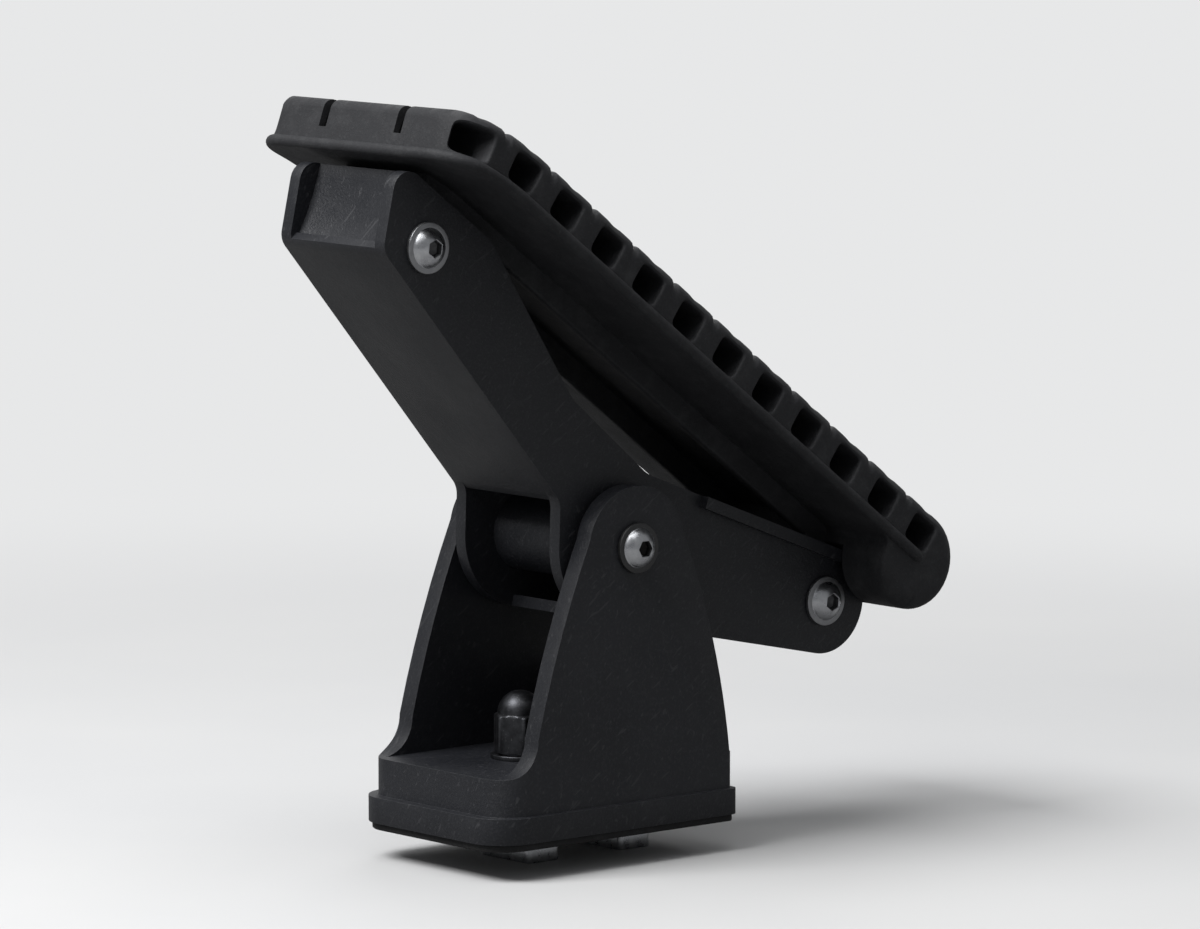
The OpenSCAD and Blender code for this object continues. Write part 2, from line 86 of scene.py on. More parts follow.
back = outward(view_turn, view_lift)
camera_data = bpy.data.cameras.new("camera")
camera_data.sensor_width = sensor_wide
camera_data.lens = sensor_wide * view_far / picture_wide
camera = put("camera", camera_data)
camera.location = target + back * view_far
camera.rotation_euler = back.to_track_quat("Z", "Y").to_euler()
scene.camera = camera
print("lens, mm:", round(camera_data.lens, 1))

# %% [markdown]
# ## Sizes of the saddle
# The saddle has a frame of its own: u runs along it, inboard and down, and w stands
# square to it. Both start at the pivot. One turn by the saddle's tilt puts such a point
# into the part's frame, so every shape below can be drawn as if the saddle lay flat.

# %% The saddle's own frame
tilt = math.radians(37.0)
pivot_z = 77.0
screw_upper = (-102.0, 27.0)
screw_lower = (72.0, 27.0)


def saddle_to_part(points):
    """Turn (u, y, w) in millimetres about the pivot by the tilt, and give metres.

    x = u cos t + w sin t, y stays, z = pivot height - u sin t + w cos t.
    """
    u, y, w = points[..., 0], points[..., 1], points[..., 2]
    x = u * math.cos(tilt) + w * math.sin(tilt)
    z = pivot_z - u * math.sin(tilt) + w * math.cos(tilt)
    return np.stack([x, y, z], axis=-1) * MM


print("upper screw, m:", saddle_to_part(np.array([screw_upper[0], 0.0, screw_upper[1]])).round(4))

# %% [markdown]
# ## From arrays to a mesh
# A grid of points becomes faces by joining each point to its neighbours. The corner
# numbers follow from the grid's shape alone, so no loop over points is needed. Grids
# that share an edge are merged afterwards, which closes the surface. A boolean cut can
# leave slivers of two faces back to back, so those are dropped too.

# %% Grids and meshes
def grid_quads(rows, cols, start=0, wrap=False):
    """Corner numbers of a rows by cols grid; wrap joins the last column to the first."""
    ids = start + np.arange(rows * cols).reshape(rows, cols)
    if wrap:
        ids = np.hstack([ids, ids[:, :1]])
    return np.stack([ids[:-1, :-1], ids[1:, :-1], ids[1:, 1:], ids[:-1, 1:]], -1).reshape(-1, 4)


def join_grids(grids):
    """Stack (points, wrap) grids into one list of points and one of quads."""
    points, quads, start = [], [], 0
    for grid, wrap in grids:
        rows, cols = grid.shape[:2]
        points.append(grid.reshape(-1, 3))
        quads.append(grid_quads(rows, cols, start, wrap))
        start += rows * cols
    return np.vstack(points), np.vstack(quads)


def raw_mesh(name, grids):
    """A mesh of joined grids, with nothing merged yet."""
    points, quads = join_grids(grids)
    mesh = bpy.data.meshes.new(name)
    mesh.from_pydata(points.tolist(), [], quads.tolist())
    return mesh


def back_to_back(bm):
    """Give the faces that have all their corners in common with another face."""
    groups = {}
    for face in bm.faces:
        groups.setdefault(frozenset(vert.index for vert in face.verts), []).append(face)
    return [face for faces in groups.values() if len(faces) > 1 for face in faces]


def finish_mesh(mesh, sharp=math.radians(40.0), merge=2e-6):
    """Merge doubles, drop flat and doubled faces, point the rest outwards, mark sharp edges."""
    bm = bmesh.new()
    bm.from_mesh(mesh)
    bmesh.ops.remove_doubles(bm, verts=bm.verts, dist=merge)
    bmesh.ops.dissolve_degenerate(bm, edges=bm.edges, dist=merge)
    bmesh.ops.triangulate(bm, faces=[face for face in bm.faces if len(face.verts) > 4])
    bm.verts.index_update()
    bmesh.ops.delete(bm, geom=back_to_back(bm), context="FACES")
    bmesh.ops.recalc_face_normals(bm, faces=bm.faces)
    for face in bm.faces:
        face.smooth = True
    for edge in bm.edges:
        edge.smooth = len(edge.link_faces) == 2 and edge.calc_face_angle(0.0) < sharp
    bm.to_mesh(mesh)
    bm.free()


def mark_points(mesh, name, values):
    """Give every point of a mesh a number that a finish can read."""
    mark = mesh.attributes.new(name, "FLOAT", "POINT")
    mark.data.foreach_set("value", np.asarray(values).astype(np.float32))


def surface_piece(name, grids, body, material, dull=None):
    """Make a named piece of grids in metres, let it ride on a body, and mark its dull points."""
    mesh = raw_mesh(name, grids)
    if dull is not None:
        mark_points(mesh, "dull", np.broadcast_to(dull, len(mesh.vertices)))
    finish_mesh(mesh)
    mesh.materials.append(material)
    piece = put(name, mesh)
    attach(piece, body)
    print(name, "faces:", len(mesh.polygons))
    return piece


# %% [markdown]
# ## Building a finish
# Each finish is a small tree of nodes that ends in one Principled shader. Short helpers
# add a node and link its inputs, which keeps the recipes below easy to read. All
# patterns read Object coordinates in metres, so a scale of 1000 gives grains of about
# a millimetre.

# %% Helpers for the finishes
def feed(tree, node, links):
    """Link a node's inputs to other nodes' outputs, or give them plain values."""
    for key, value in links.items():
        if isinstance(value, bpy.types.NodeSocket):
            tree.links.new(value, node.inputs[key])
        else:
            node.inputs[key].default_value = value


def add(tree, kind, links=None, **settings):
    """Add a node, set its plain properties, and feed its inputs by name or number."""
    made = tree.nodes.new(kind)
    for key, value in settings.items():
        setattr(made, key, value)
    feed(tree, made, links or {})
    return made


def new_finish(name):
    """An empty finish: its tree, its shader and its Object coordinates."""
    finish = bpy.data.materials.new(name)
    finish.use_nodes = True
    tree = finish.node_tree
    tree.nodes.clear()
    shader = add(tree, "ShaderNodeBsdfPrincipled")
    add(tree, "ShaderNodeOutputMaterial", {"Surface": shader.outputs[0]})
    place = add(tree, "ShaderNodeTexCoord").outputs["Object"]
    return finish, tree, shader, place


def grain(tree, place, scale, detail=3.0, roughness=0.55, stretch=None, turn=(0.0, 0.0, 0.0)):
    """Noise at a scale. Where asked, it is turned and then drawn out by the factors in stretch."""
    if stretch is not None:
        links = {"Vector": place, "Rotation": turn, "Scale": stretch}
        place = add(tree, "ShaderNodeMapping", links, vector_type="TEXTURE").outputs[0]
    links = {"Vector": place, "Scale": scale, "Detail": detail, "Roughness": roughness}
    return add(tree, "ShaderNodeTexNoise", links).outputs["Fac"]


def band(tree, value, low, high, to_low=0.0, to_high=1.0):
    """Map low..high to to_low..to_high, held at its ends."""
    links = {"Value": value, "From Min": low, "From Max": high, "To Min": to_low, "To Max": to_high}
    return add(tree, "ShaderNodeMapRange", links).outputs[0]


def blend_colour(tree, amount, first, second):
    """Mix two colours by an amount. Inputs 6 and 7 of the node and its output 2 are colours."""
    links = {0: amount, 6: first, 7: second}
    return add(tree, "ShaderNodeMix", links, data_type="RGBA").outputs[2]


def combine(tree, operation, first, second):
    """Put two values through one step of arithmetic, such as ADD or MAXIMUM."""
    return add(tree, "ShaderNodeMath", {0: first, 1: second}, operation=operation).outputs[0]


def times(tree, first, second):
    """Multiply two values."""
    return combine(tree, "MULTIPLY", first, second)


def relief(tree, shader, layers):
    """Stack bumps, each (height, distance in metres, strength), onto the shader."""
    normal = None
    for height, distance, strength in layers:
        links = {"Height": height, "Distance": distance, "Strength": strength}
        if normal is not None:
            links["Normal"] = normal
        normal = add(tree, "ShaderNodeBump", links).outputs[0]
    feed(tree, shader, {"Normal": normal})


# %% [markdown]
# ## Moulded plastic
# The tower and the frame are glass-filled nylon, moulded blue-black against a spark
# eroded tool. It has a fine even grain, a slow change of tone from the flow of the
# melt, fine scratches in two directions, and edges rubbed a little paler. The edges
# carry an attribute of their own, so that the wear stays on them.

# %% The moulding's finish
def moulding_finish():
    """Nylon: flow, dust and fibres in the tone, pale edges, and scratches in two directions."""
    finish, tree, shader, place = new_finish("moulded_nylon")
    flow = grain(tree, place, 38.0, 4.0)
    tone = blend_colour(tree, band(tree, flow, 0.35, 0.68),
                        (0.0105, 0.0115, 0.0150, 1), (0.0165, 0.0175, 0.0215, 1))
    dust = band(tree, grain(tree, place, 95.0, 8.0, 0.7), 0.56, 0.78, 0.0, 0.30)
    tone = blend_colour(tree, dust, tone, (0.046, 0.047, 0.051, 1))
    fibres = band(tree, grain(tree, place, 1500.0, 3.0, 0.6), 0.50, 0.72, 0.0, 0.55)
    tone = blend_colour(tree, fibres, tone, (0.036, 0.037, 0.042, 1))
    worn = add(tree, "ShaderNodeAttribute", attribute_name="edge").outputs["Fac"]
    broken = band(tree, grain(tree, place, 420.0, 4.0), 0.42, 0.62, 0.25, 1.0)
    tone = blend_colour(tree, times(tree, times(tree, worn, broken), 0.55), tone,
                        (0.085, 0.087, 0.095, 1))
    steep = grain(tree, place, 900.0, 2.0, 0.4, (1.0, 1.0, 30.0), (0.5, 0.35, 0.0))
    level = grain(tree, place, 900.0, 2.0, 0.4, (30.0, 1.0, 1.0), (0.3, -0.6, 0.2))
    scratch = combine(tree, "MAXIMUM", band(tree, steep, 0.67, 0.72), band(tree, level, 0.67, 0.72))
    tone = blend_colour(tree, times(tree, scratch, 0.45), tone, (0.062, 0.063, 0.068, 1))
    rough = combine(tree, "ADD", band(tree, flow, 0.3, 0.7, 0.40, 0.52), times(tree, scratch, 0.12))
    feed(tree, shader, {"Base Color": tone, "Roughness": rough, "Specular IOR Level": 0.45})
    eroded = grain(tree, place, 1500.0, 4.0, 0.7)
    sink = grain(tree, place, 70.0, 2.0)
    relief(tree, shader, [(sink, 0.0010, 0.30), (eroded, 0.00016, 0.8), (scratch, 0.00004, 0.4)])
    return finish


moulded_nylon = moulding_finish()
print("finish:", moulded_nylon.name)

# %% [markdown]
# ## Rubber
# The pad is moulded rubber. It is duller than the plastic and has a slight pale bloom,
# more of it in patches. The wear of a hull leaves fine lengthwise scuffs on its top,
# so the scuffs read the pad's own attribute and stay off its sides.

# %% The rubber finishes
def rubber_finish(name, dark, pale, bloom):
    """Rubber: two dark tones, patches and specks of bloom, and scuffs where "top" is 1."""
    finish, tree, shader, place = new_finish(name)
    cloud = grain(tree, place, 55.0, 5.0, 0.6)
    tone = blend_colour(tree, band(tree, cloud, 0.35, 0.7), dark, pale)
    patch = band(tree, grain(tree, place, 150.0, 8.0, 0.72), 0.47, 0.76, 0.0, 0.65)
    tone = blend_colour(tree, patch, tone, bloom)
    specks = band(tree, grain(tree, place, 1300.0, 3.0, 0.6), 0.56, 0.70, 0.0, 0.4)
    tone = blend_colour(tree, specks, tone, bloom)
    top = add(tree, "ShaderNodeAttribute", attribute_name="top").outputs["Fac"]
    scuff = band(tree, grain(tree, place, 300.0, 3.0, 0.5, (8.0, 1.0, 8.0)), 0.55, 0.68)
    tone = blend_colour(tree, times(tree, times(tree, scuff, top), 0.5), tone,
                        (0.075, 0.075, 0.078, 1))
    rough = band(tree, cloud, 0.3, 0.7, 0.62, 0.78)
    feed(tree, shader, {"Base Color": tone, "Roughness": rough, "Specular IOR Level": 0.4})
    pores = grain(tree, place, 1300.0, 4.0, 0.7)
    waves = grain(tree, place, 120.0, 2.0)
    relief(tree, shader, [(waves, 0.0006, 0.35), (pores, 0.00018, 0.8)])
    return finish


pad_rubber = rubber_finish("pad_rubber", (0.0165, 0.0170, 0.0195, 1),
                           (0.0225, 0.0230, 0.0260, 1), (0.050, 0.051, 0.054, 1))
underlay_rubber = rubber_finish("underlay_rubber", (0.012, 0.012, 0.013, 1),
                                (0.017, 0.017, 0.018, 1), (0.040, 0.040, 0.041, 1))
print("finishes:", pad_rubber.name, underlay_rubber.name)

# %% [markdown]
# ## Metal and nylon
# The screws are zinc plated: bright, faintly cloudy, with a few dull spots. Their grain
# is drawn out along the turning direction. An attribute marks places that are drawn
# darker and rougher: the sockets, where the dark is painted shade, and the washers.
# The cap nuts and their washers are black zinc, and the bushes and nut rings are plain
# nylon.

# %% The metal and nylon finishes
def plated_finish(name, dark, bright, rough_low, rough_high):
    """Plated steel: a cloudy tone with dull spots, darker and rougher where "dull" is 1."""
    finish, tree, shader, place = new_finish(name)
    cloud = grain(tree, place, 420.0, 5.0, 0.6)
    tone = blend_colour(tree, band(tree, cloud, 0.3, 0.7), dark, bright)
    spots = band(tree, grain(tree, place, 1500.0, 2.0), 0.66, 0.76)
    tone = blend_colour(tree, times(tree, spots, 0.5), tone, (0.30, 0.30, 0.29, 1))
    dull = add(tree, "ShaderNodeAttribute", attribute_name="dull").outputs["Fac"]
    # Where dull is 1 the colour goes near black: painted shade in the sockets, and a plain darker
    # tone on the washers.
    tone = blend_colour(tree, dull, tone, (0.035, 0.034, 0.033, 1))
    rough = band(tree, cloud, 0.3, 0.7, rough_low, rough_high)
    rough = combine(tree, "ADD", rough, times(tree, dull, 0.25))
    feed(tree, shader, {"Base Color": tone, "Roughness": rough, "Metallic": 1.0})
    turned = grain(tree, place, 2400.0, 2.0, 0.5, (1.0, 8.0, 1.0))
    relief(tree, shader, [(turned, 0.00003, 0.5)])
    return finish


def nylon_finish(name, base, tinted, rough):
    """Plain nylon: two tones in clouds and a fine grain."""
    finish, tree, shader, place = new_finish(name)
    cloud = grain(tree, place, 180.0, 4.0)
    tone = blend_colour(tree, band(tree, cloud, 0.35, 0.65), base, tinted)
    feed(tree, shader, {"Base Color": tone,
                        "Roughness": band(tree, cloud, 0.3, 0.7, rough, rough + 0.12)})
    relief(tree, shader, [(grain(tree, place, 2200.0, 2.0), 0.00004, 0.4)])
    return finish


bright_zinc = plated_finish("bright_zinc", (0.50, 0.51, 0.54, 1), (0.70, 0.71, 0.73, 1), 0.24, 0.38)
nut_zinc = plated_finish("nut_zinc", (0.44, 0.45, 0.47, 1), (0.62, 0.63, 0.64, 1), 0.30, 0.45)
black_zinc = plated_finish("black_zinc", (0.045, 0.046, 0.050, 1), (0.085, 0.087, 0.095, 1),
                           0.36, 0.50)
bush_nylon = nylon_finish("bush_nylon", (0.68, 0.67, 0.62, 1), (0.76, 0.75, 0.70, 1), 0.42)
ring_nylon = nylon_finish("ring_nylon", (0.045, 0.11, 0.30, 1), (0.065, 0.15, 0.36, 1), 0.40)
print("finishes:", [m.name for m in (bright_zinc, nut_zinc, black_zinc, bush_nylon, ring_nylon)])

# %% [markdown]
# ## The pad's outline
# Seen from the side the pad is a strip 14.5 mm thick. Its outboard end curls down and
# its inboard end is a roll. The outline is written as two curves over the distance s
# from the roll: the top and the underside. Shallow dips over the cells and grooves
# between them are part of the top curve, so they show in the silhouette too.

# %% The pad's side curves
roll_at = (79.0, 46.5)
roll_r = 13.5
pad_mid = 52.75
roll_v = roll_at[1] - pad_mid
roll_meets = 13.25
half_thick = 7.25
straight_run = 175.0
curl_r = 95.0
pad_end = 203.4
end_r = 3.0
cell_pitch = 17.5
cell_half = (4.75, 4.0)
cell_v = 0.25
cell_centres = 197.0 - cell_pitch * np.arange(12)
dip_deep, dip_share = 0.28, 0.36
groove_deep, groove_wide = 1.15, 1.05
fall_deep, fall_run = 1.58, 0.8
nose_s = -4.25
wall_y = 41.4
plan_r = 10.4
top_edge_r = 4.0


def on_path(s, v):
    """Point (u, w) at distance s along the pad and v above its middle.

    Straight up to 175 mm, and past that on a circle of 95 mm, so the angle is (s - 175) / 95.
    """
    a = np.maximum(s - straight_run, 0.0) / curl_r
    flat = np.stack([roll_at[0] - s, pad_mid + v + 0.0 * s], -1)
    bent = np.stack([roll_at[0] - straight_run - (curl_r + v) * np.sin(a),
                     pad_mid - curl_r + (curl_r + v) * np.cos(a)], -1)
    return np.where((s <= straight_run)[..., None], flat, bent)


def top_of(s):
    """Height of the top: level, less dips, grooves and the end's rounding; a circle on the roll."""
    pitches = (s - cell_centres[0]) / cell_pitch
    gap = np.abs(pitches - np.round(pitches))
    dip = dip_deep * np.cos(np.pi * np.minimum(gap / dip_share, 0.5)) ** 2
    dip = dip * (s > 2.0) * (s < 198.0)
    groove = groove_deep * np.exp(-((0.5 - gap) * cell_pitch / groove_wide) ** 4)
    groove = groove * (s > 12.0) * (s < 190.0)
    left = np.clip(end_r - (pad_end - s), 0.0, end_r)
    ended = end_r - np.sqrt(end_r ** 2 - left ** 2)
    circle = roll_v + np.sqrt(np.maximum(roll_r ** 2 - s ** 2, 0.0))
    return np.where(s > 0.0, half_thick - dip - groove - ended, circle)


def under_of(s):
    """Height of the underside: level, falling into the roll's circle near s = 13."""
    circle = roll_v - np.sqrt(np.maximum(roll_r ** 2 - s ** 2, 0.0))
    level = -half_thick - fall_deep * np.exp(-np.maximum(s - roll_meets, 0.0) / fall_run)
    return np.where(s < roll_meets, circle, level)


halfway = np.array(100.0)
print("thickness at 100 mm:", round(float(top_of(halfway) - under_of(halfway)), 2))

# %% [markdown]
# ## The pad's sides
# A side is nearly flat, with a rounded upper edge and rounded corners in plan. Its
# distance from the middle plane is therefore a function of the place on it: full width,
# less a quarter circle near each edge. Every point of the side uses this one function,
# so neighbouring patches meet exactly.

# %% The pad's half width
def half_width(s):
    """41.4 mm, less a quarter circle of 10.4 mm in plan at the outboard end."""
    run = np.clip(s - (pad_end - plan_r), 0.0, plan_r)
    return wall_y - plan_r + np.sqrt(plan_r ** 2 - run ** 2)


def rounding(d, r):
    """How far a quarter circle of radius r draws back at distance d from the edge."""
    inside = np.clip(r - d, 0.0, r)
    return r - np.sqrt(np.maximum(r * r - inside * inside, 0.0))


def under_radius(s):
    """Radius of the lower edge: 0.6 mm, growing to 4 mm round the roll."""
    k = np.clip((roll_meets - s) / 9.0, 0.0, 1.0)
    return 0.6 + 3.4 * k * k * (3.0 - 2.0 * k)


def side_y(s, v):
    """Distance of the side from the middle plane at (s, v): half width less its roundings."""
    reach = np.sqrt(s ** 2 + (v - roll_v) ** 2)
    d_top = np.where(s > 0.0, top_of(s) - v, roll_r - reach)
    d_low = np.where(s > 0.0, v - under_of(s), roll_r - reach)
    drawn = np.maximum(rounding(d_top, top_edge_r), rounding(d_low, under_radius(s)))
    return half_width(s) - drawn


# %% [markdown]
# ## The cells
# Each cell is a rounded window through the pad. Its patch of side wall is a ring: the
# inner loop is the window, the outer loop is the block around it, and the rows between
# them are a straight blend. Rows crowd towards the outside, where the edge is round.
# The tunnel behind has a small lip radius and narrows a little to the middle, as the
# cores that mould it from each side need.

# %% The cells' rings and tunnels
per_side = 20
spread = np.sin(np.linspace(-0.5, 0.5, per_side + 1)[:-1] * np.pi)
share = (spread + 1.0) / 2.0
squareness = 5.3


def block_loop(low, high):
    """The block's outline from its lower corner round, as (s, v) points."""
    run = low + (high - low) * share
    back_run = high - (high - low) * share

    def upright(s, up):
        s = np.full(per_side, s)
        a, b = under_of(s), top_of(s)
        return np.stack([s, a + (b - a) * share if up else b - (b - a) * share], -1)

    return np.vstack([np.stack([run, under_of(run)], -1), upright(high, True),
                      np.stack([back_run, top_of(back_run)], -1), upright(low, False)])


def window_loop(centre, grow, draft=0.0):
    """A squared circle round a cell's centre: (x, y) over its 5.3-norm, times the half sizes."""
    one = np.ones(per_side)
    box = np.vstack([np.stack([spread, -one], -1), np.stack([one, spread], -1),
                     np.stack([-spread, one], -1), np.stack([-one, -spread], -1)])
    norm = (np.abs(box) ** squareness).sum(-1, keepdims=True) ** (1.0 / squareness)
    half = np.array(cell_half) * (1.0 - draft) + grow
    return box / norm * half + np.array([centre, cell_v])


mouth = 0.7
cell_draft = 0.09
rings = np.sin(np.linspace(0.0, 1.0, 10) * np.pi / 2.0)[:, None, None]


def cell_grids(centre, low, high, sign):
    """Side ring and half tunnel of one cell, on the side that sign gives.

    The mouth is a quarter circle, and the tunnel narrows by the draft to the pad's middle.
    """
    inner, outer = window_loop(centre, mouth), block_loop(low, high)
    ring = inner + (outer - inner) * rings
    ring_y = side_y(ring[..., 0], ring[..., 1])
    turn = np.linspace(0.0, np.pi / 2.0, 5)[:, None]
    loops = np.stack([window_loop(centre, mouth * (1.0 - np.sin(t))) for t in turn[:, 0]])
    lip_y = side_y(inner[:, 0], inner[:, 1])[None] - mouth * (1.0 - np.cos(turn))
    depth = np.linspace(0.0, 1.0, 6)[1:, None]
    walls = np.stack([window_loop(centre, 0.0, cell_draft * k) for k in depth[:, 0]])
    wall_depth = lip_y[-1][None] * (1.0 - depth)
    loops = np.concatenate([loops, walls])
    loops_y = np.concatenate([lip_y, wall_depth])
    out = []
    for sv, y in ((ring, ring_y), (loops, loops_y)):
        uw = on_path(sv[..., 0], sv[..., 1])
        out.append((np.stack([uw[..., 0], sign * y, uw[..., 1]], -1), True))
    return out


blocks = [(c, c - cell_pitch / 2.0, min(c + cell_pitch / 2.0, pad_end)) for c in cell_centres]
pad_grids = []
for centre, low, high in blocks:
    for sign in (1.0, -1.0):
        pad_grids += cell_grids(centre, low, high, sign)
print("cells:", len(cell_centres), "grids so far:", len(pad_grids))

# %% [markdown]
# ## The pad's skin
# One long grid wraps the pad: along the top, round the roll's nose, back along the
# underside and up the outboard end. Across the pad it runs straight from one rounded
# edge to the other. Its outline uses the very points of the blocks, so it closes onto
# the sides when the doubles are merged.

# %% The skin and the nose
nose_half = float(top_of(np.array(nose_s)) - roll_v)


def outline_points():
    """Points (s, v) round the pad: top, nose arc, underside, end."""
    tops, unders = [], []
    for _, low, high in blocks:
        run = high - (high - low) * share
        tops.append(np.stack([run, top_of(run)], -1))
        run = low + (high - low) * share
        unders.append(np.stack([run, under_of(run)], -1))
    heights = -nose_half * spread
    arc = np.stack([-np.sqrt(roll_r ** 2 - heights ** 2), heights + roll_v], -1)
    end_s = np.full(per_side, pad_end)
    a, b = under_of(end_s), top_of(end_s)
    rise = np.stack([end_s, a + (b - a) * share], -1)
    return np.vstack(tops + [arc] + unders[::-1] + [rise])


outline = outline_points()
reach_y = side_y(outline[:, 0], outline[:, 1])
across = np.linspace(-1.0, 1.0, 25)
uw = on_path(outline[:, 0], outline[:, 1])
skin = np.stack([np.repeat(uw[None, :, 0], len(across), 0), across[:, None] * reach_y[None],
                 np.repeat(uw[None, :, 1], len(across), 0)], -1)
pad_grids.append((skin, True))

nose_v = nose_half * np.append(spread, 1.0)
nose_tip = -np.sqrt(roll_r ** 2 - nose_v ** 2)
steps = np.linspace(0.0, 1.0, 12)[:, None]
nose_line = nose_s + (nose_tip - nose_s)[None] * np.sin(steps * np.pi / 2.0)
nose_high = np.repeat(nose_v[None] + roll_v, len(steps), 0)
uw = on_path(nose_line, nose_high)
nose_y = side_y(nose_line, nose_high)
for sign in (1.0, -1.0):
    pad_grids.append((np.stack([uw[..., 0], sign * nose_y, uw[..., 1]], -1), False))
print("skin and nose grids:", len(pad_grids))

# %% [markdown]
# ## Cutting the slits and the arm notches
# Two slits in the outboard end let the pad flex there, and the roll has slots for the
# ends of the frame's arms. Both are plain sinking cuts, so they are made as a mould
# maker would, by taking a tool's shape away from the closed body.

# %% The closed body, less its cuts
def plain_mesh(name, grids):
    """Grids in the saddle's frame, in millimetres, as one closed mesh in the part's frame."""
    mesh = raw_mesh(name, [(saddle_to_part(grid), wrap) for grid, wrap in grids])
    finish_mesh(mesh)
    return mesh


def capped(loops):
    """Loops stacked along the first axis, with each end drawn in to its loop's middle."""
    first, last = (np.repeat(loop.mean(0, keepdims=True), loop.shape[0], 0)
                   for loop in (loops[0], loops[-1]))
    return np.concatenate([first[None], loops, last[None]])


def slit_tool(y):
    """A slot 3 mm wide with a round inner end: straight sides, and half a circle at s = 198.5."""
    inner, past_end, half = 198.5, 207.0, 1.5
    turn = np.linspace(0.0, np.pi, 13)
    bend = np.stack([inner - half * np.sin(turn), half * np.cos(turn)], -1)
    plan = np.vstack([[past_end, half], bend, [past_end, -half]])
    depth = np.array([-0.75, 4.0, 9.0])
    s = np.repeat(plan[None, :, 0], len(depth), 0)
    uw = on_path(s, depth[:, None] + 0.0 * s)
    side = np.repeat(plan[None, :, 1] + y, len(depth), 0)
    return capped(np.stack([uw[..., 0], side, uw[..., 1]], -1))


def notch_tool(sign):
    """The arm's end outline, 15 mm round the lower screw and square behind it."""
    arm_r, behind = 15.0, 56.5
    (u, w), (near, far) = screw_lower, (17.0, 24.6)
    turn = np.radians(np.linspace(90.0, -40.0, 27))
    arm = np.stack([u + arm_r * np.cos(turn), w + arm_r * np.sin(turn)], -1)
    loop = np.vstack([[behind, 24.0], [behind, 42.0], arm, [u, 15.0]])
    return capped(np.stack([np.stack([loop[:, 0], np.full(len(loop), sign * y), loop[:, 1]], -1)
                            for y in (near, far)]))


def cut(mesh, tools):
    """Take each tool away from the mesh by an exact boolean, and give the new mesh."""
    body = put("pad_body", mesh)
    helpers = [body]
    for tool in tools:
        cutter = put("pad_tool", plain_mesh("pad_tool", [(tool, True)]))
        helpers.append(cutter)
        step = body.modifiers.new("cut", "BOOLEAN")
        step.operation, step.solver, step.object = "DIFFERENCE", "EXACT", cutter
    bpy.context.view_layer.update()
    graph = bpy.context.evaluated_depsgraph_get()
    made = bpy.data.meshes.new_from_object(body.evaluated_get(graph))
    for helper in helpers:
        data = helper.data
        bpy.data.objects.remove(helper)
        bpy.data.meshes.remove(data)
    return made


slit_y = 15.5
pad_mesh = cut(plain_mesh("pad_body", pad_grids),
               [slit_tool(slit_y), slit_tool(-slit_y), notch_tool(1.0), notch_tool(-1.0)])
print("pad body faces:", len(pad_mesh.polygons))

# %% [markdown]
# ## Lip, keels and lugs
# A round lip runs along the pad's lower edge and round its outboard end. Two keels
# stiffen the underside, and two lugs take the screws. They are moulded in one with the
# pad, so their grids are joined to its mesh and run a little way into it.

# %% The lip
def lip_grid():
    """A bar of radius 1.6 mm along the side, round the corner, across the end and back.

    Its radius closes to nothing over the last 3 mm at the roll, as the root of 1 - k squared.
    """
    lip_r, lip_v, fade = 1.6, -5.65, 3.0
    corner_s, corner_y = 193.0, 31.0
    run = np.concatenate([fade - fade * np.cos(np.linspace(0.0, 0.5, 8) * np.pi),
                          np.linspace(fade, corner_s, 60)[1:]])
    turn = np.linspace(0.0, np.pi / 2.0, 14)[1:]
    side = np.stack([run, np.full(len(run), wall_y)], -1)
    corner = np.stack([corner_s + plan_r * np.sin(turn), corner_y + plan_r * np.cos(turn)], -1)
    half = np.vstack([side, corner])
    across_y = np.linspace(corner_y, -corner_y, 11)[1:-1]
    across_end = np.stack([np.full(len(across_y), pad_end), across_y], -1)
    path = np.vstack([half, across_end, half[::-1] * [1.0, -1.0]])
    heading = np.gradient(path, axis=0)
    heading /= np.linalg.norm(heading, axis=1, keepdims=True)
    sideways = np.stack([-heading[:, 1], heading[:, 0]], -1)
    k = np.clip(1.0 - path[:, 0] / fade, 0.0, 1.0)
    radius = lip_r * np.sqrt(np.maximum(1.0 - k * k, 0.0))
    a = np.linspace(0.0, 2.0 * np.pi, 17)[:-1]
    plan = path[:, None] + sideways[:, None] * (radius[:, None] * np.cos(a))[..., None]
    height = lip_v + radius[:, None] * np.sin(a)
    uw = on_path(plan[..., 0], height)
    return np.stack([uw[..., 0], plan[..., 1], uw[..., 1]], -1)


# %% The keels and the lugs
def keel_grid(sign):
    """A bar 3 mm thick under the pad: a rectangle with its lower corners rounded by 0.9 mm."""
    inner, outer, low, high, r = 14.0, 17.0, 39.5, 47.5, 0.9
    turn = np.linspace(0.0, np.pi / 2.0, 6)
    out_corner = np.stack([outer - r + r * np.sin(turn), low + r - r * np.cos(turn)], -1)
    in_corner = np.stack([inner + r - r * np.sin(turn), low + r - r * np.cos(turn)], -1)[::-1]
    loop = np.vstack([out_corner, [outer, high], [inner, high], in_corner])
    u = np.linspace(screw_upper[0], screw_lower[0], 40)[:, None]
    grid = np.stack([u + 0.0 * loop[None, :, 0], np.repeat(sign * loop[None, :, 0], len(u), 0),
                     np.repeat(loop[None, :, 1], len(u), 0)], -1)
    return capped(grid)


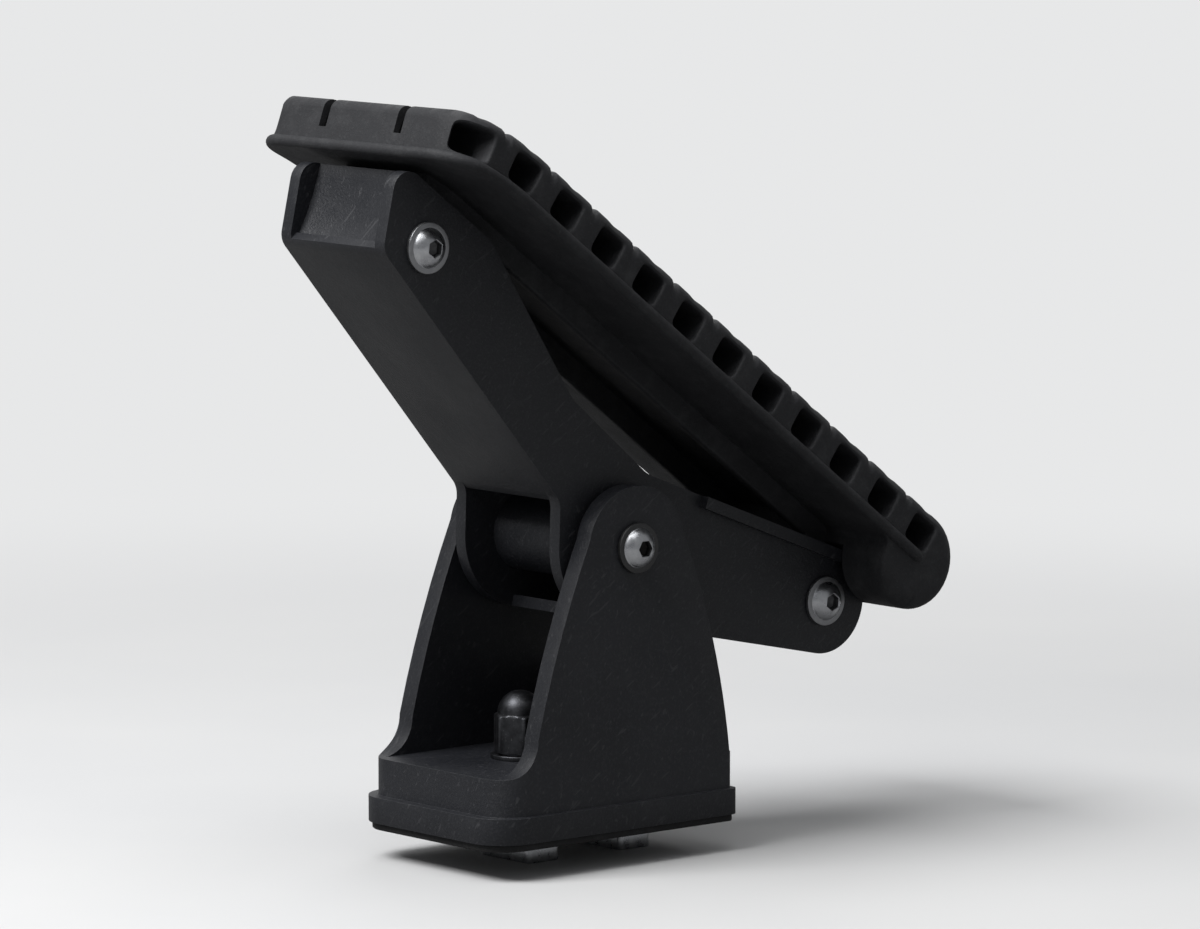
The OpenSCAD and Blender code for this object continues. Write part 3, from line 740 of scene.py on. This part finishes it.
def lug_grid(screw, foot_low, foot_high):
    """A lug in the plane of u and w: the larger of a 7 mm circle and a foot that widens up.

    The foot's outline along each ray is the least of d / (n . ray) over its four edges.
    """
    hole_r, lug_r, foot_w, half_y, round_r = 5.05, 7.0, 46.5, 17.0, 0.8
    a = np.linspace(0.0, 2.0 * np.pi, 97)[:-1]
    ray = np.stack([np.cos(a), np.sin(a)], -1)
    corners = np.array([[-6.86, -1.4], [6.86, -1.4], [foot_high - screw[0], foot_w - screw[1]],
                        [foot_low - screw[0], foot_w - screw[1]]])
    edge = np.roll(corners, -1, 0) - corners
    normal = np.stack([edge[:, 1], -edge[:, 0]], -1)
    facing = ray @ normal.T
    reach = (normal * corners).sum(1) / np.maximum(facing, 1e-6)
    outer = np.maximum(np.where(facing > 1e-6, reach, 1e6).min(1), lug_r)
    turn = np.linspace(0.0, np.pi / 2.0, 5)
    inset = round_r * (1.0 - np.sin(turn))
    y_edge = half_y - round_r + round_r * np.cos(turn)
    hole = np.full(len(a), hole_r)
    rows = [(hole, 0.1 - half_y), (hole, half_y - 0.1)]
    rows += [(outer - i, y) for i, y in zip(inset, y_edge)]
    rows += [(outer - i, -y) for i, y in zip(inset[::-1], y_edge[::-1])]
    rows.append(rows[0])
    return np.stack([np.stack([screw[0] + r * ray[:, 0], np.full(len(a), y),
                               screw[1] + r * ray[:, 1]], -1) for r, y in rows])


extra = [(lip_grid(), True), (keel_grid(1.0), True), (keel_grid(-1.0), True),
         (lug_grid(screw_upper, -110.0, -86.0), True), (lug_grid(screw_lower, 56.0, 84.0), True)]
extra_mesh = plain_mesh("pad_extra", extra)
print("lip, keels and lugs faces:", len(extra_mesh.polygons))

# %% [markdown]
# ## The finished pad
# The parts are joined into one mesh. A point attribute marks the top, so that the finish
# can put the scuffs of a hull there alone. The height above the pad's middle comes from
# turning each point back into the saddle's frame.

# %% Join the pad and mark its top
bm = bmesh.new()
bm.from_mesh(pad_mesh)
bm.from_mesh(extra_mesh)
bm.to_mesh(pad_mesh)
bm.free()
finish_mesh(pad_mesh, sharp=math.radians(35.0), merge=1e-5)
bpy.data.meshes.remove(extra_mesh)
place = np.empty(len(pad_mesh.vertices) * 3)
pad_mesh.vertices.foreach_get("co", place)
place = place.reshape(-1, 3) / MM - [0.0, 0.0, pivot_z]
along = place[:, 0] * math.cos(tilt) - place[:, 2] * math.sin(tilt)
above = place[:, 0] * math.sin(tilt) + place[:, 2] * math.cos(tilt)
bend_u, bend_w = roll_at[0] - straight_run, pad_mid - curl_r
curled = np.hypot(along - bend_u, above - bend_w) - curl_r
height = np.where(along < bend_u, curled, above - pad_mid)
mark_points(pad_mesh, "top", np.clip((height - 5.0) / 1.5, 0.0, 1.0))
pad_mesh.name = "saddle_pad_rubber"
pad_mesh.materials.clear()
pad_mesh.materials.append(pad_rubber)
saddle_pad = put("saddle_pad_rubber", pad_mesh)
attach(saddle_pad, "saddle")
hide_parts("saddle_pad")
print("pad faces:", len(pad_mesh.polygons), "top points:", int((height > 6.5).sum()))

# %% [markdown]
# ## Rigid pieces from the solids
# A moulded or turned piece has the right shape already, but its edges are razor sharp,
# and no light would catch them. A copy of the solid is merged, its flat triangles are
# joined, and every sharp edge is rounded by a small bevel. The new faces get an
# attribute that the finish reads as wear.

# %% Eased copies of the solids
def eased_copy(node, width, material, body):
    """A merged copy of a node with its sharp edges rounded by a bevel of the given width."""
    merge, flat, curved = 4e-6, math.radians(0.6), math.radians(28.0)
    bm = bmesh.new()
    bm.from_mesh(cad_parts[node].data)
    layer = bm.faces.layers.float.new("edge")
    bmesh.ops.remove_doubles(bm, verts=bm.verts, dist=merge)
    bmesh.ops.dissolve_degenerate(bm, edges=bm.edges, dist=merge)
    bmesh.ops.dissolve_limit(bm, angle_limit=flat, verts=bm.verts, edges=bm.edges,
                             use_dissolve_boundaries=False)
    for face in bm.faces:
        face.smooth = any(0.01 < e.calc_face_angle(0.0) < curved
                          for e in face.edges if len(e.link_faces) == 2)
    sharp = [e for e in bm.edges if len(e.link_faces) == 2 and e.calc_face_angle(0.0) > curved]
    done = bmesh.ops.bevel(bm, geom=sharp, offset=width, offset_type="OFFSET", segments=3,
                           profile=0.5, affect="EDGES", clamp_overlap=True, loop_slide=True)
    for face in done["faces"]:
        face.smooth = True
        face[layer] = 1.0
    name = node + "_eased"
    mesh = bpy.data.meshes.new(name)
    bm.to_mesh(mesh)
    bm.free()
    mesh.materials.append(material)
    piece = put(name, mesh)
    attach(piece, body)
    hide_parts(node)
    print(name, "faces:", len(mesh.polygons))


eased_copy("tower_body", 0.7 * MM, moulded_nylon, "base")
eased_copy("saddle_frame", 0.6 * MM, moulded_nylon, "saddle")
eased_copy("foot_underlay", 0.4 * MM, underlay_rubber, "base")
eased_copy("channel_bolts", 0.4 * MM, bright_zinc, "base")

# %% [markdown]
# ## Turned pieces
# Screws, washers, nuts and bushes are all one idea: a profile spun about an axis. Each
# row of a profile gives a height, a width across flats and a radius. Where the flats are
# given, the row is the smaller of the hexagon and the circle, which also draws the
# chamfered corners of a real nut.

# %% Spin a profile
spin_count = 96
spin = np.linspace(0.0, 2.0 * np.pi, spin_count + 1)[:-1]
to_flat = 1.0 / np.cos(np.radians(np.degrees(spin) % 60.0 - 30.0))


def swept(h, radius):
    """Grid of (a, b, h) from a radius for each height and angle."""
    return np.stack([radius * np.cos(spin), radius * np.sin(spin),
                     np.repeat(h[:, None], spin_count, 1)], -1)


def spun(rows):
    """Grid of (a, b, h) for rows (h, across flats, r).

    The radius is r, or the least of r and half the flats over the cosine of the angle to a flat.
    """
    h, flats, r = np.array(rows, float).T
    hexagon = np.where(flats[:, None] > 0.0, flats[:, None] / 2.0 * to_flat, 1e6)
    return swept(h, np.minimum(hexagon, r[:, None]))


def ring_rows(inner, outer, low, high, edge):
    """A closed profile: a rectangle whose four corners are rounded by the radius edge."""
    t = np.linspace(0.0, np.pi / 2.0, 4)
    c, n = edge * (1.0 - np.cos(t)), edge * (1.0 - np.sin(t))
    corners = ([(low + n[k], inner + c[k]) for k in range(4)]
               + [(low + c[k], outer - n[k]) for k in range(4)]
               + [(high - n[k], outer - c[k]) for k in range(4)]
               + [(high - c[k], inner + n[k]) for k in range(4)])
    corners.append(corners[0])
    return [(h, 0.0, r) for h, r in corners]


def on_y(grid, centre, seat, sign):
    """Stand (a, b, h) on a line along Y through centre, with h = 0 at the seat."""
    return np.stack([centre[0] + grid[..., 0], seat + sign * grid[..., 2],
                     centre[1] + grid[..., 1]], -1)


def on_z(grid, x, seat):
    """Stand (a, b, h) on a line along Z at x."""
    return np.stack([x + grid[..., 0], grid[..., 1], seat + grid[..., 2]], -1)


def y_range(node):
    """Lowest and highest y of a node, in millimetres."""
    low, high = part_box(node)
    return low[1] / MM, high[1] / MM


def in_saddle(grids):
    """Grids of the saddle's frame, turned into the part's frame."""
    return [saddle_to_part(grid) for grid in grids]


def in_part(grids):
    """Grids of the part's frame, from millimetres to metres."""
    return [grid * MM for grid in grids]


def dress(node, grids, body, material, dull=None):
    """A turned piece that stands for a node: grids in metres."""
    rounds = [(grid, True) for grid in grids]
    piece = surface_piece(node + "_turned", rounds, body, material, dull)
    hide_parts(node)


# %% [markdown]
# ## Button head screws
# The heads are shallow domes with a hexagon socket, and the shank ends in a rolled
# thread that shows past the lock nut. The dome is part of a sphere, so its height is the
# root of the sphere's radius squared less the radius squared. The thread is a saw wave of
# the height and the angle together, which makes it a true helix.

# %% The screws
head_r, head_high, shank_r, pitch = 5.49, 3.4, 3.0, 1.0
crown = (head_r ** 2 + head_high ** 2) / (2.0 * head_high)


def dome(r):
    """Height of the button head over its seat at radius r."""
    return head_high - crown + math.sqrt(crown * crown - r * r)


def screw_grid(length):
    """Head, shank and helical thread: r = 3 less 0.3 times a saw wave of h / pitch and angle."""
    thread_long, thread_deep = 14.0, 0.3
    rows = [(0.35, 0.0, 0.0), (0.8, 4.0, 1.9), (0.9, 4.0, 4.0), (1.1, 4.05, 4.0),
            (dome(2.2) - 0.15, 4.05, 4.0), (dome(2.3), 4.4, 4.0)]
    rows += [(dome(r), 0.0, r) for r in (2.7, 3.2, 3.7, 4.2, 4.7, 5.1, 5.35)]
    rows += [(0.22, 0.0, 5.47), (0.1, 0.0, 5.47), (0.0, 0.0, 5.35), (0.0, 0.0, 3.3),
             (-0.3, 0.0, shank_r)]
    h = np.arange(-length + thread_long, -length + 0.6, -pitch / 8.0)
    wave = np.abs(2.0 * ((h[:, None] / pitch - spin / (2.0 * np.pi)) % 1.0) - 1.0)
    fade = np.clip(h[0] - h, 0.0, 1.0)[:, None]
    thread = swept(h, shank_r - thread_deep * fade * (1.0 - wave))
    tip = spun([(-length + 0.5, 0.0, 2.68), (-length, 0.0, 2.25), (-length, 0.0, 0.0)])
    return np.concatenate([spun(rows), thread, tip])


def screw_set(node, centres):
    """Screws of a node, from its seat to its tip, on the given centres."""
    low, high = y_range(node)
    seat = low + head_high
    return [on_y(screw_grid(high - seat), centre, seat, -1.0) for centre in centres]


def painted_socket_shade(grids):
    """Painted shade for each point: 1 in the socket, a screw's first rows, and less up its walls.
    """
    shade_by_row = np.array([1.0, 1.0, 1.0, 0.95, 0.45])
    rows = np.zeros(grids[0].shape[:2])
    rows[:len(shade_by_row)] = shade_by_row[:, None]
    return np.tile(rows.ravel(), len(grids))


pad_centres = (screw_upper, screw_lower)
pivot_centre = ((0.0, pivot_z),)
pad_pair = in_saddle(screw_set("pad_screws", pad_centres))
pivot_one = in_part(screw_set("pivot_bolt", pivot_centre))
# The sockets are darkened through dull: painted shade in the recess.
dress("pad_screws", pad_pair, "saddle", bright_zinc, 0.8 * painted_socket_shade(pad_pair))
dress("pivot_bolt", pivot_one, "base", bright_zinc, painted_socket_shade(pivot_one))

# %% [markdown]
# ## Washers and lock nuts
# Washers are punched, so their edges are slightly rounded. A lock nut has a hexagon body
# with chamfered corners and a round collar. The collar is crimped over a nylon ring.

# %% The washers
washer_thick = 1.2


def washer_pair(node, centres):
    """A washer at each end of a node's y range, on the given centres."""
    low, high = y_range(node)
    ring = spun(ring_rows(3.2, 6.75, 0.0, washer_thick, 0.25))
    return [on_y(ring, centre, seat, 1.0)
            for centre in centres for seat in (low, high - washer_thick)]


# The washers are drawn darker through dull, the pivot's washers most.
dress("pad_washers", in_saddle(washer_pair("pad_washers", pad_centres)),
      "saddle", bright_zinc, 0.45)
dress("pivot_washers", in_part(washer_pair("pivot_washers", pivot_centre)),
      "base", bright_zinc, 0.9)

# %% The lock nuts and their rings
nut_rows = [(0.3, 0.0, 3.05), (0.0, 0.0, 3.35), (0.0, 10.0, 4.75), (0.35, 10.0, 5.35),
            (0.6, 10.0, 5.8), (3.6, 10.0, 5.8), (4.05, 10.0, 5.35), (4.35, 10.0, 4.8),
            (4.4, 0.0, 4.6), (5.3, 0.0, 4.55), (5.75, 0.0, 4.35), (5.98, 0.0, 4.05),
            (5.95, 0.0, 3.85), (5.75, 0.0, 3.8), (4.4, 0.0, 3.8), (4.4, 0.0, 3.05),
            (0.3, 0.0, 3.05)]
insert_rows = ring_rows(3.05, 3.75, 0.0, 1.3, 0.2)


def stood(node, rows, centres):
    """A profile spun and stood at a node's lowest y, on the given centres."""
    seat = y_range(node)[0]
    return [on_y(spun(rows), centre, seat, 1.0) for centre in centres]


for on_pad, on_pivot, rows, slot, material in (
        ("pad_lock_nuts", "pivot_lock_nut", nut_rows, "nut_zinc", nut_zinc),
        ("pad_nut_rings", "pivot_nut_ring", insert_rows, "insert_nylon", ring_nylon)):
    dress(on_pad, in_saddle(stood(on_pad, rows, pad_centres)), "saddle", material)
    dress(on_pivot, in_part(stood(on_pivot, rows, pivot_centre)), "base", material)

# %% [markdown]
# ## Sleeves, bushes and cap nuts
# The sleeves are cut tube, and the bushes are moulded with a flange that keeps the frame
# off the cheeks. The cap nuts close over the studs with a dome.

# %% The sleeves and the bushes
def sleeve(node, centre):
    """A tube 10 mm across with a 6.2 mm bore, as long as its node."""
    low, high = y_range(node)
    return stood(node, ring_rows(3.1, 5.0, 0.0, high - low, 0.3), [centre])


dress("pivot_sleeve", in_part(sleeve("pivot_sleeve", pivot_centre[0])),
      "base", bright_zinc)
for node, centre in (("pad_sleeve_upper", screw_upper), ("pad_sleeve_lower", screw_lower)):
    dress(node, in_saddle(sleeve(node, centre)), "saddle", bright_zinc)


def bush_grid(node, sign):
    """Tube of 13 mm with a 19 mm flange 1.6 mm thick at its outer end."""
    low, high = y_range(node)
    length = high - low
    rows = [(0.3, 0.0, 5.06), (0.0, 0.0, 5.3), (0.0, 0.0, 9.2), (0.3, 0.0, 9.5), (1.3, 0.0, 9.5),
            (1.6, 0.0, 9.2), (1.6, 0.0, 6.5), (length - 0.6, 0.0, 6.5), (length, 0.0, 6.0),
            (length, 0.0, 5.3), (length - 0.3, 0.0, 5.06), (0.3, 0.0, 5.06)]
    return [on_y(spun(rows), pivot_centre[0], low if sign > 0 else high, sign)]


for node, sign in (("pivot_bush_near", 1.0), ("pivot_bush_far", -1.0)):
    dress(node, in_part(bush_grid(node, sign)), "saddle", bush_nylon)

# %% The cap nuts and their washers
cap_flats, cap_top = 13.0, 16.85
cap_low, cap_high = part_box("channel_cap_nuts")
cap_x = cap_high[0] / MM - cap_flats / math.sqrt(3.0)
cap_seat = cap_low[2] / MM
cap_rows = [(14.0, 0.0, 0.0), (14.0, 0.0, 3.65), (0.4, 0.0, 3.65), (0.0, 0.0, 4.1),
            (0.0, cap_flats, 6.3), (0.35, cap_flats, 7.0), (0.7, cap_flats, 7.6),
            (9.9, cap_flats, 7.6), (10.4, cap_flats, 7.0), (10.85, cap_flats, 6.3)]
cap_rows += [(10.9 + 6.08 * math.sin(t), 0.0, 6.1 * math.cos(t))
             for t in np.linspace(0.0, np.pi / 2.0, 12)[:-1]]
cap_rows = [row for row in cap_rows if row[0] <= cap_top]
cap_rows += [(16.84, 0.0, 0.4), (cap_top, 0.0, 0.0)]
cap_nut = spun(cap_rows)
flat_ring = spun(ring_rows(4.2, 8.0, 0.0, washer_thick, 0.25))
dress("channel_cap_nuts", in_part([on_z(cap_nut, x, cap_seat) for x in (cap_x, -cap_x)]),
      "base", black_zinc)
dress("channel_washers",
      in_part([on_z(flat_ring, x, cap_seat - washer_thick) for x in (cap_x, -cap_x)]),
      "base", black_zinc)

# %% [markdown]
# ## Floor
# The floor is one pale sheet that turns up behind the object in a wide curve, so there
# is no horizon. Near the object it is plain matt paint, which takes the shadow. It is
# pale to the camera and darker to the light that bounces off it, so it doesn't light
# the object from below. Further out it turns into an even pale tone for the camera.

# %% The floor sheet
far_tone = (0.80, 0.805, 0.81, 1)


def floor_sheet():
    """A profile (distance, height) carried sideways: flat, a quarter circle, then upright."""
    flat_end, bend_r, wall_top, floor_z = 1.6, 0.9, 3.5, -0.0081
    flat = np.stack([np.linspace(-3.0, flat_end, 24), np.zeros(24)], -1)
    a = np.linspace(0.0, np.pi / 2.0, 16)[1:]
    curve = np.stack([flat_end + bend_r * np.sin(a), bend_r - bend_r * np.cos(a)], -1)
    wall_z = np.linspace(bend_r, wall_top, 5)[1:]
    wall = np.stack([np.full(len(wall_z), flat_end + bend_r), wall_z], -1)
    profile = np.vstack([flat, curve, wall])
    side = np.linspace(-3.5, 3.5, 9)
    away = np.array([-back.x, -back.y]) / math.hypot(back.x, back.y)
    right = np.array([-away[1], away[0]])
    ground = profile[:, None, :1] * away + side[None, :, None] * right
    height = np.repeat(profile[:, None, 1:], len(side), 1) + floor_z
    return np.concatenate([ground, height], -1)


def floor_finish():
    """Matt paint near the object; past it, an even tone for camera, mirror and glass rays."""
    finish, tree, shader, place = new_finish("pale_floor")
    rays = add(tree, "ShaderNodeLightPath").outputs
    tone = blend_colour(tree, band(tree, grain(tree, place, 3.0, 4.0), 0.35, 0.65),
                        (0.62, 0.623, 0.63, 1), (0.66, 0.66, 0.66, 1))
    tone = blend_colour(tree, rays["Is Camera Ray"], (0.22, 0.22, 0.22, 1), tone)
    feed(tree, shader, {"Base Color": tone, "Roughness": 0.85, "Specular IOR Level": 0.1})
    away = add(tree, "ShaderNodeVectorMath", {0: place}, operation="LENGTH").outputs["Value"]
    far = add(tree, "ShaderNodeMapRange", {"Value": away, "From Min": 0.22, "From Max": 0.75},
              interpolation_type="SMOOTHSTEP").outputs[0]
    mirrored = times(tree, rays["Is Glossy Ray"], 0.36)
    seen = combine(tree, "MAXIMUM", rays["Is Camera Ray"], mirrored)
    seen = combine(tree, "MAXIMUM", seen, rays["Is Transmission Ray"])
    shine = band(tree, seen, 0.0, 1.0, 0.2, 1.0)
    even = add(tree, "ShaderNodeEmission", {"Color": far_tone, "Strength": shine})
    mixed = add(tree, "ShaderNodeMixShader", {0: far, 1: shader.outputs[0], 2: even.outputs[0]})
    output = [node for node in tree.nodes if node.type == "OUTPUT_MATERIAL"][0]
    feed(tree, output, {"Surface": mixed.outputs[0]})
    return finish


floor_mesh = raw_mesh("floor", [(floor_sheet(), False)])
floor_mesh.shade_smooth()
floor_mesh.materials.append(floor_finish())
floor = put("floor", floor_mesh)
print("floor faces:", len(floor_mesh.polygons))

# %% [markdown]
# ## Light
# One large soft lamp stands outboard and above, a wide one hangs overhead, and a weak one
# fills from the far side. The outboard faces and the upper edges catch the light and the
# sides stay dark, as on the real carrier under an open sky. The world gives a little
# even light, and to the camera it has the same pale tone as the far floor.

# %% The lamps and the world
def soft_lamp(name, turn, lift, far, size, watts):
    """An area lamp at an azimuth and elevation round the object's middle, facing it."""
    middle = Vector((0.0, 0.0, 0.1))
    out = outward(math.radians(turn), math.radians(lift))
    lamp = bpy.data.lights.new(name, "AREA")
    lamp.shape = "RECTANGLE"
    lamp.size, lamp.size_y = size
    lamp.energy = watts
    made = put(name, lamp)
    made.location = middle + out * far
    made.rotation_euler = out.to_track_quat("Z", "Y").to_euler()
    return made


lamps = [soft_lamp("key", -100.0, 52.0, 1.2, (0.7, 0.6), 15.0),
         soft_lamp("overhead", -60.0, 82.0, 1.3, (1.1, 1.1), 8.0),
         soft_lamp("far_fill", 130.0, 35.0, 1.4, (0.7, 0.6), 3.0)]
world = bpy.data.worlds.new("studio")
world.use_nodes = True
sky = world.node_tree
sky.nodes.clear()
lit = add(sky, "ShaderNodeBackground", {"Color": (0.96, 0.98, 1.0, 1), "Strength": 0.22})
seen = add(sky, "ShaderNodeBackground", {"Color": far_tone, "Strength": 1.0})
from_camera = add(sky, "ShaderNodeLightPath").outputs["Is Camera Ray"]
both = add(sky, "ShaderNodeMixShader", {0: from_camera, 1: lit.outputs[0], 2: seen.outputs[0]})
add(sky, "ShaderNodeOutputWorld", {"Surface": both.outputs[0]})
scene.world = world
scene.view_settings.view_transform = "Standard"
print("lamps:", [lamp.name for lamp in lamps])
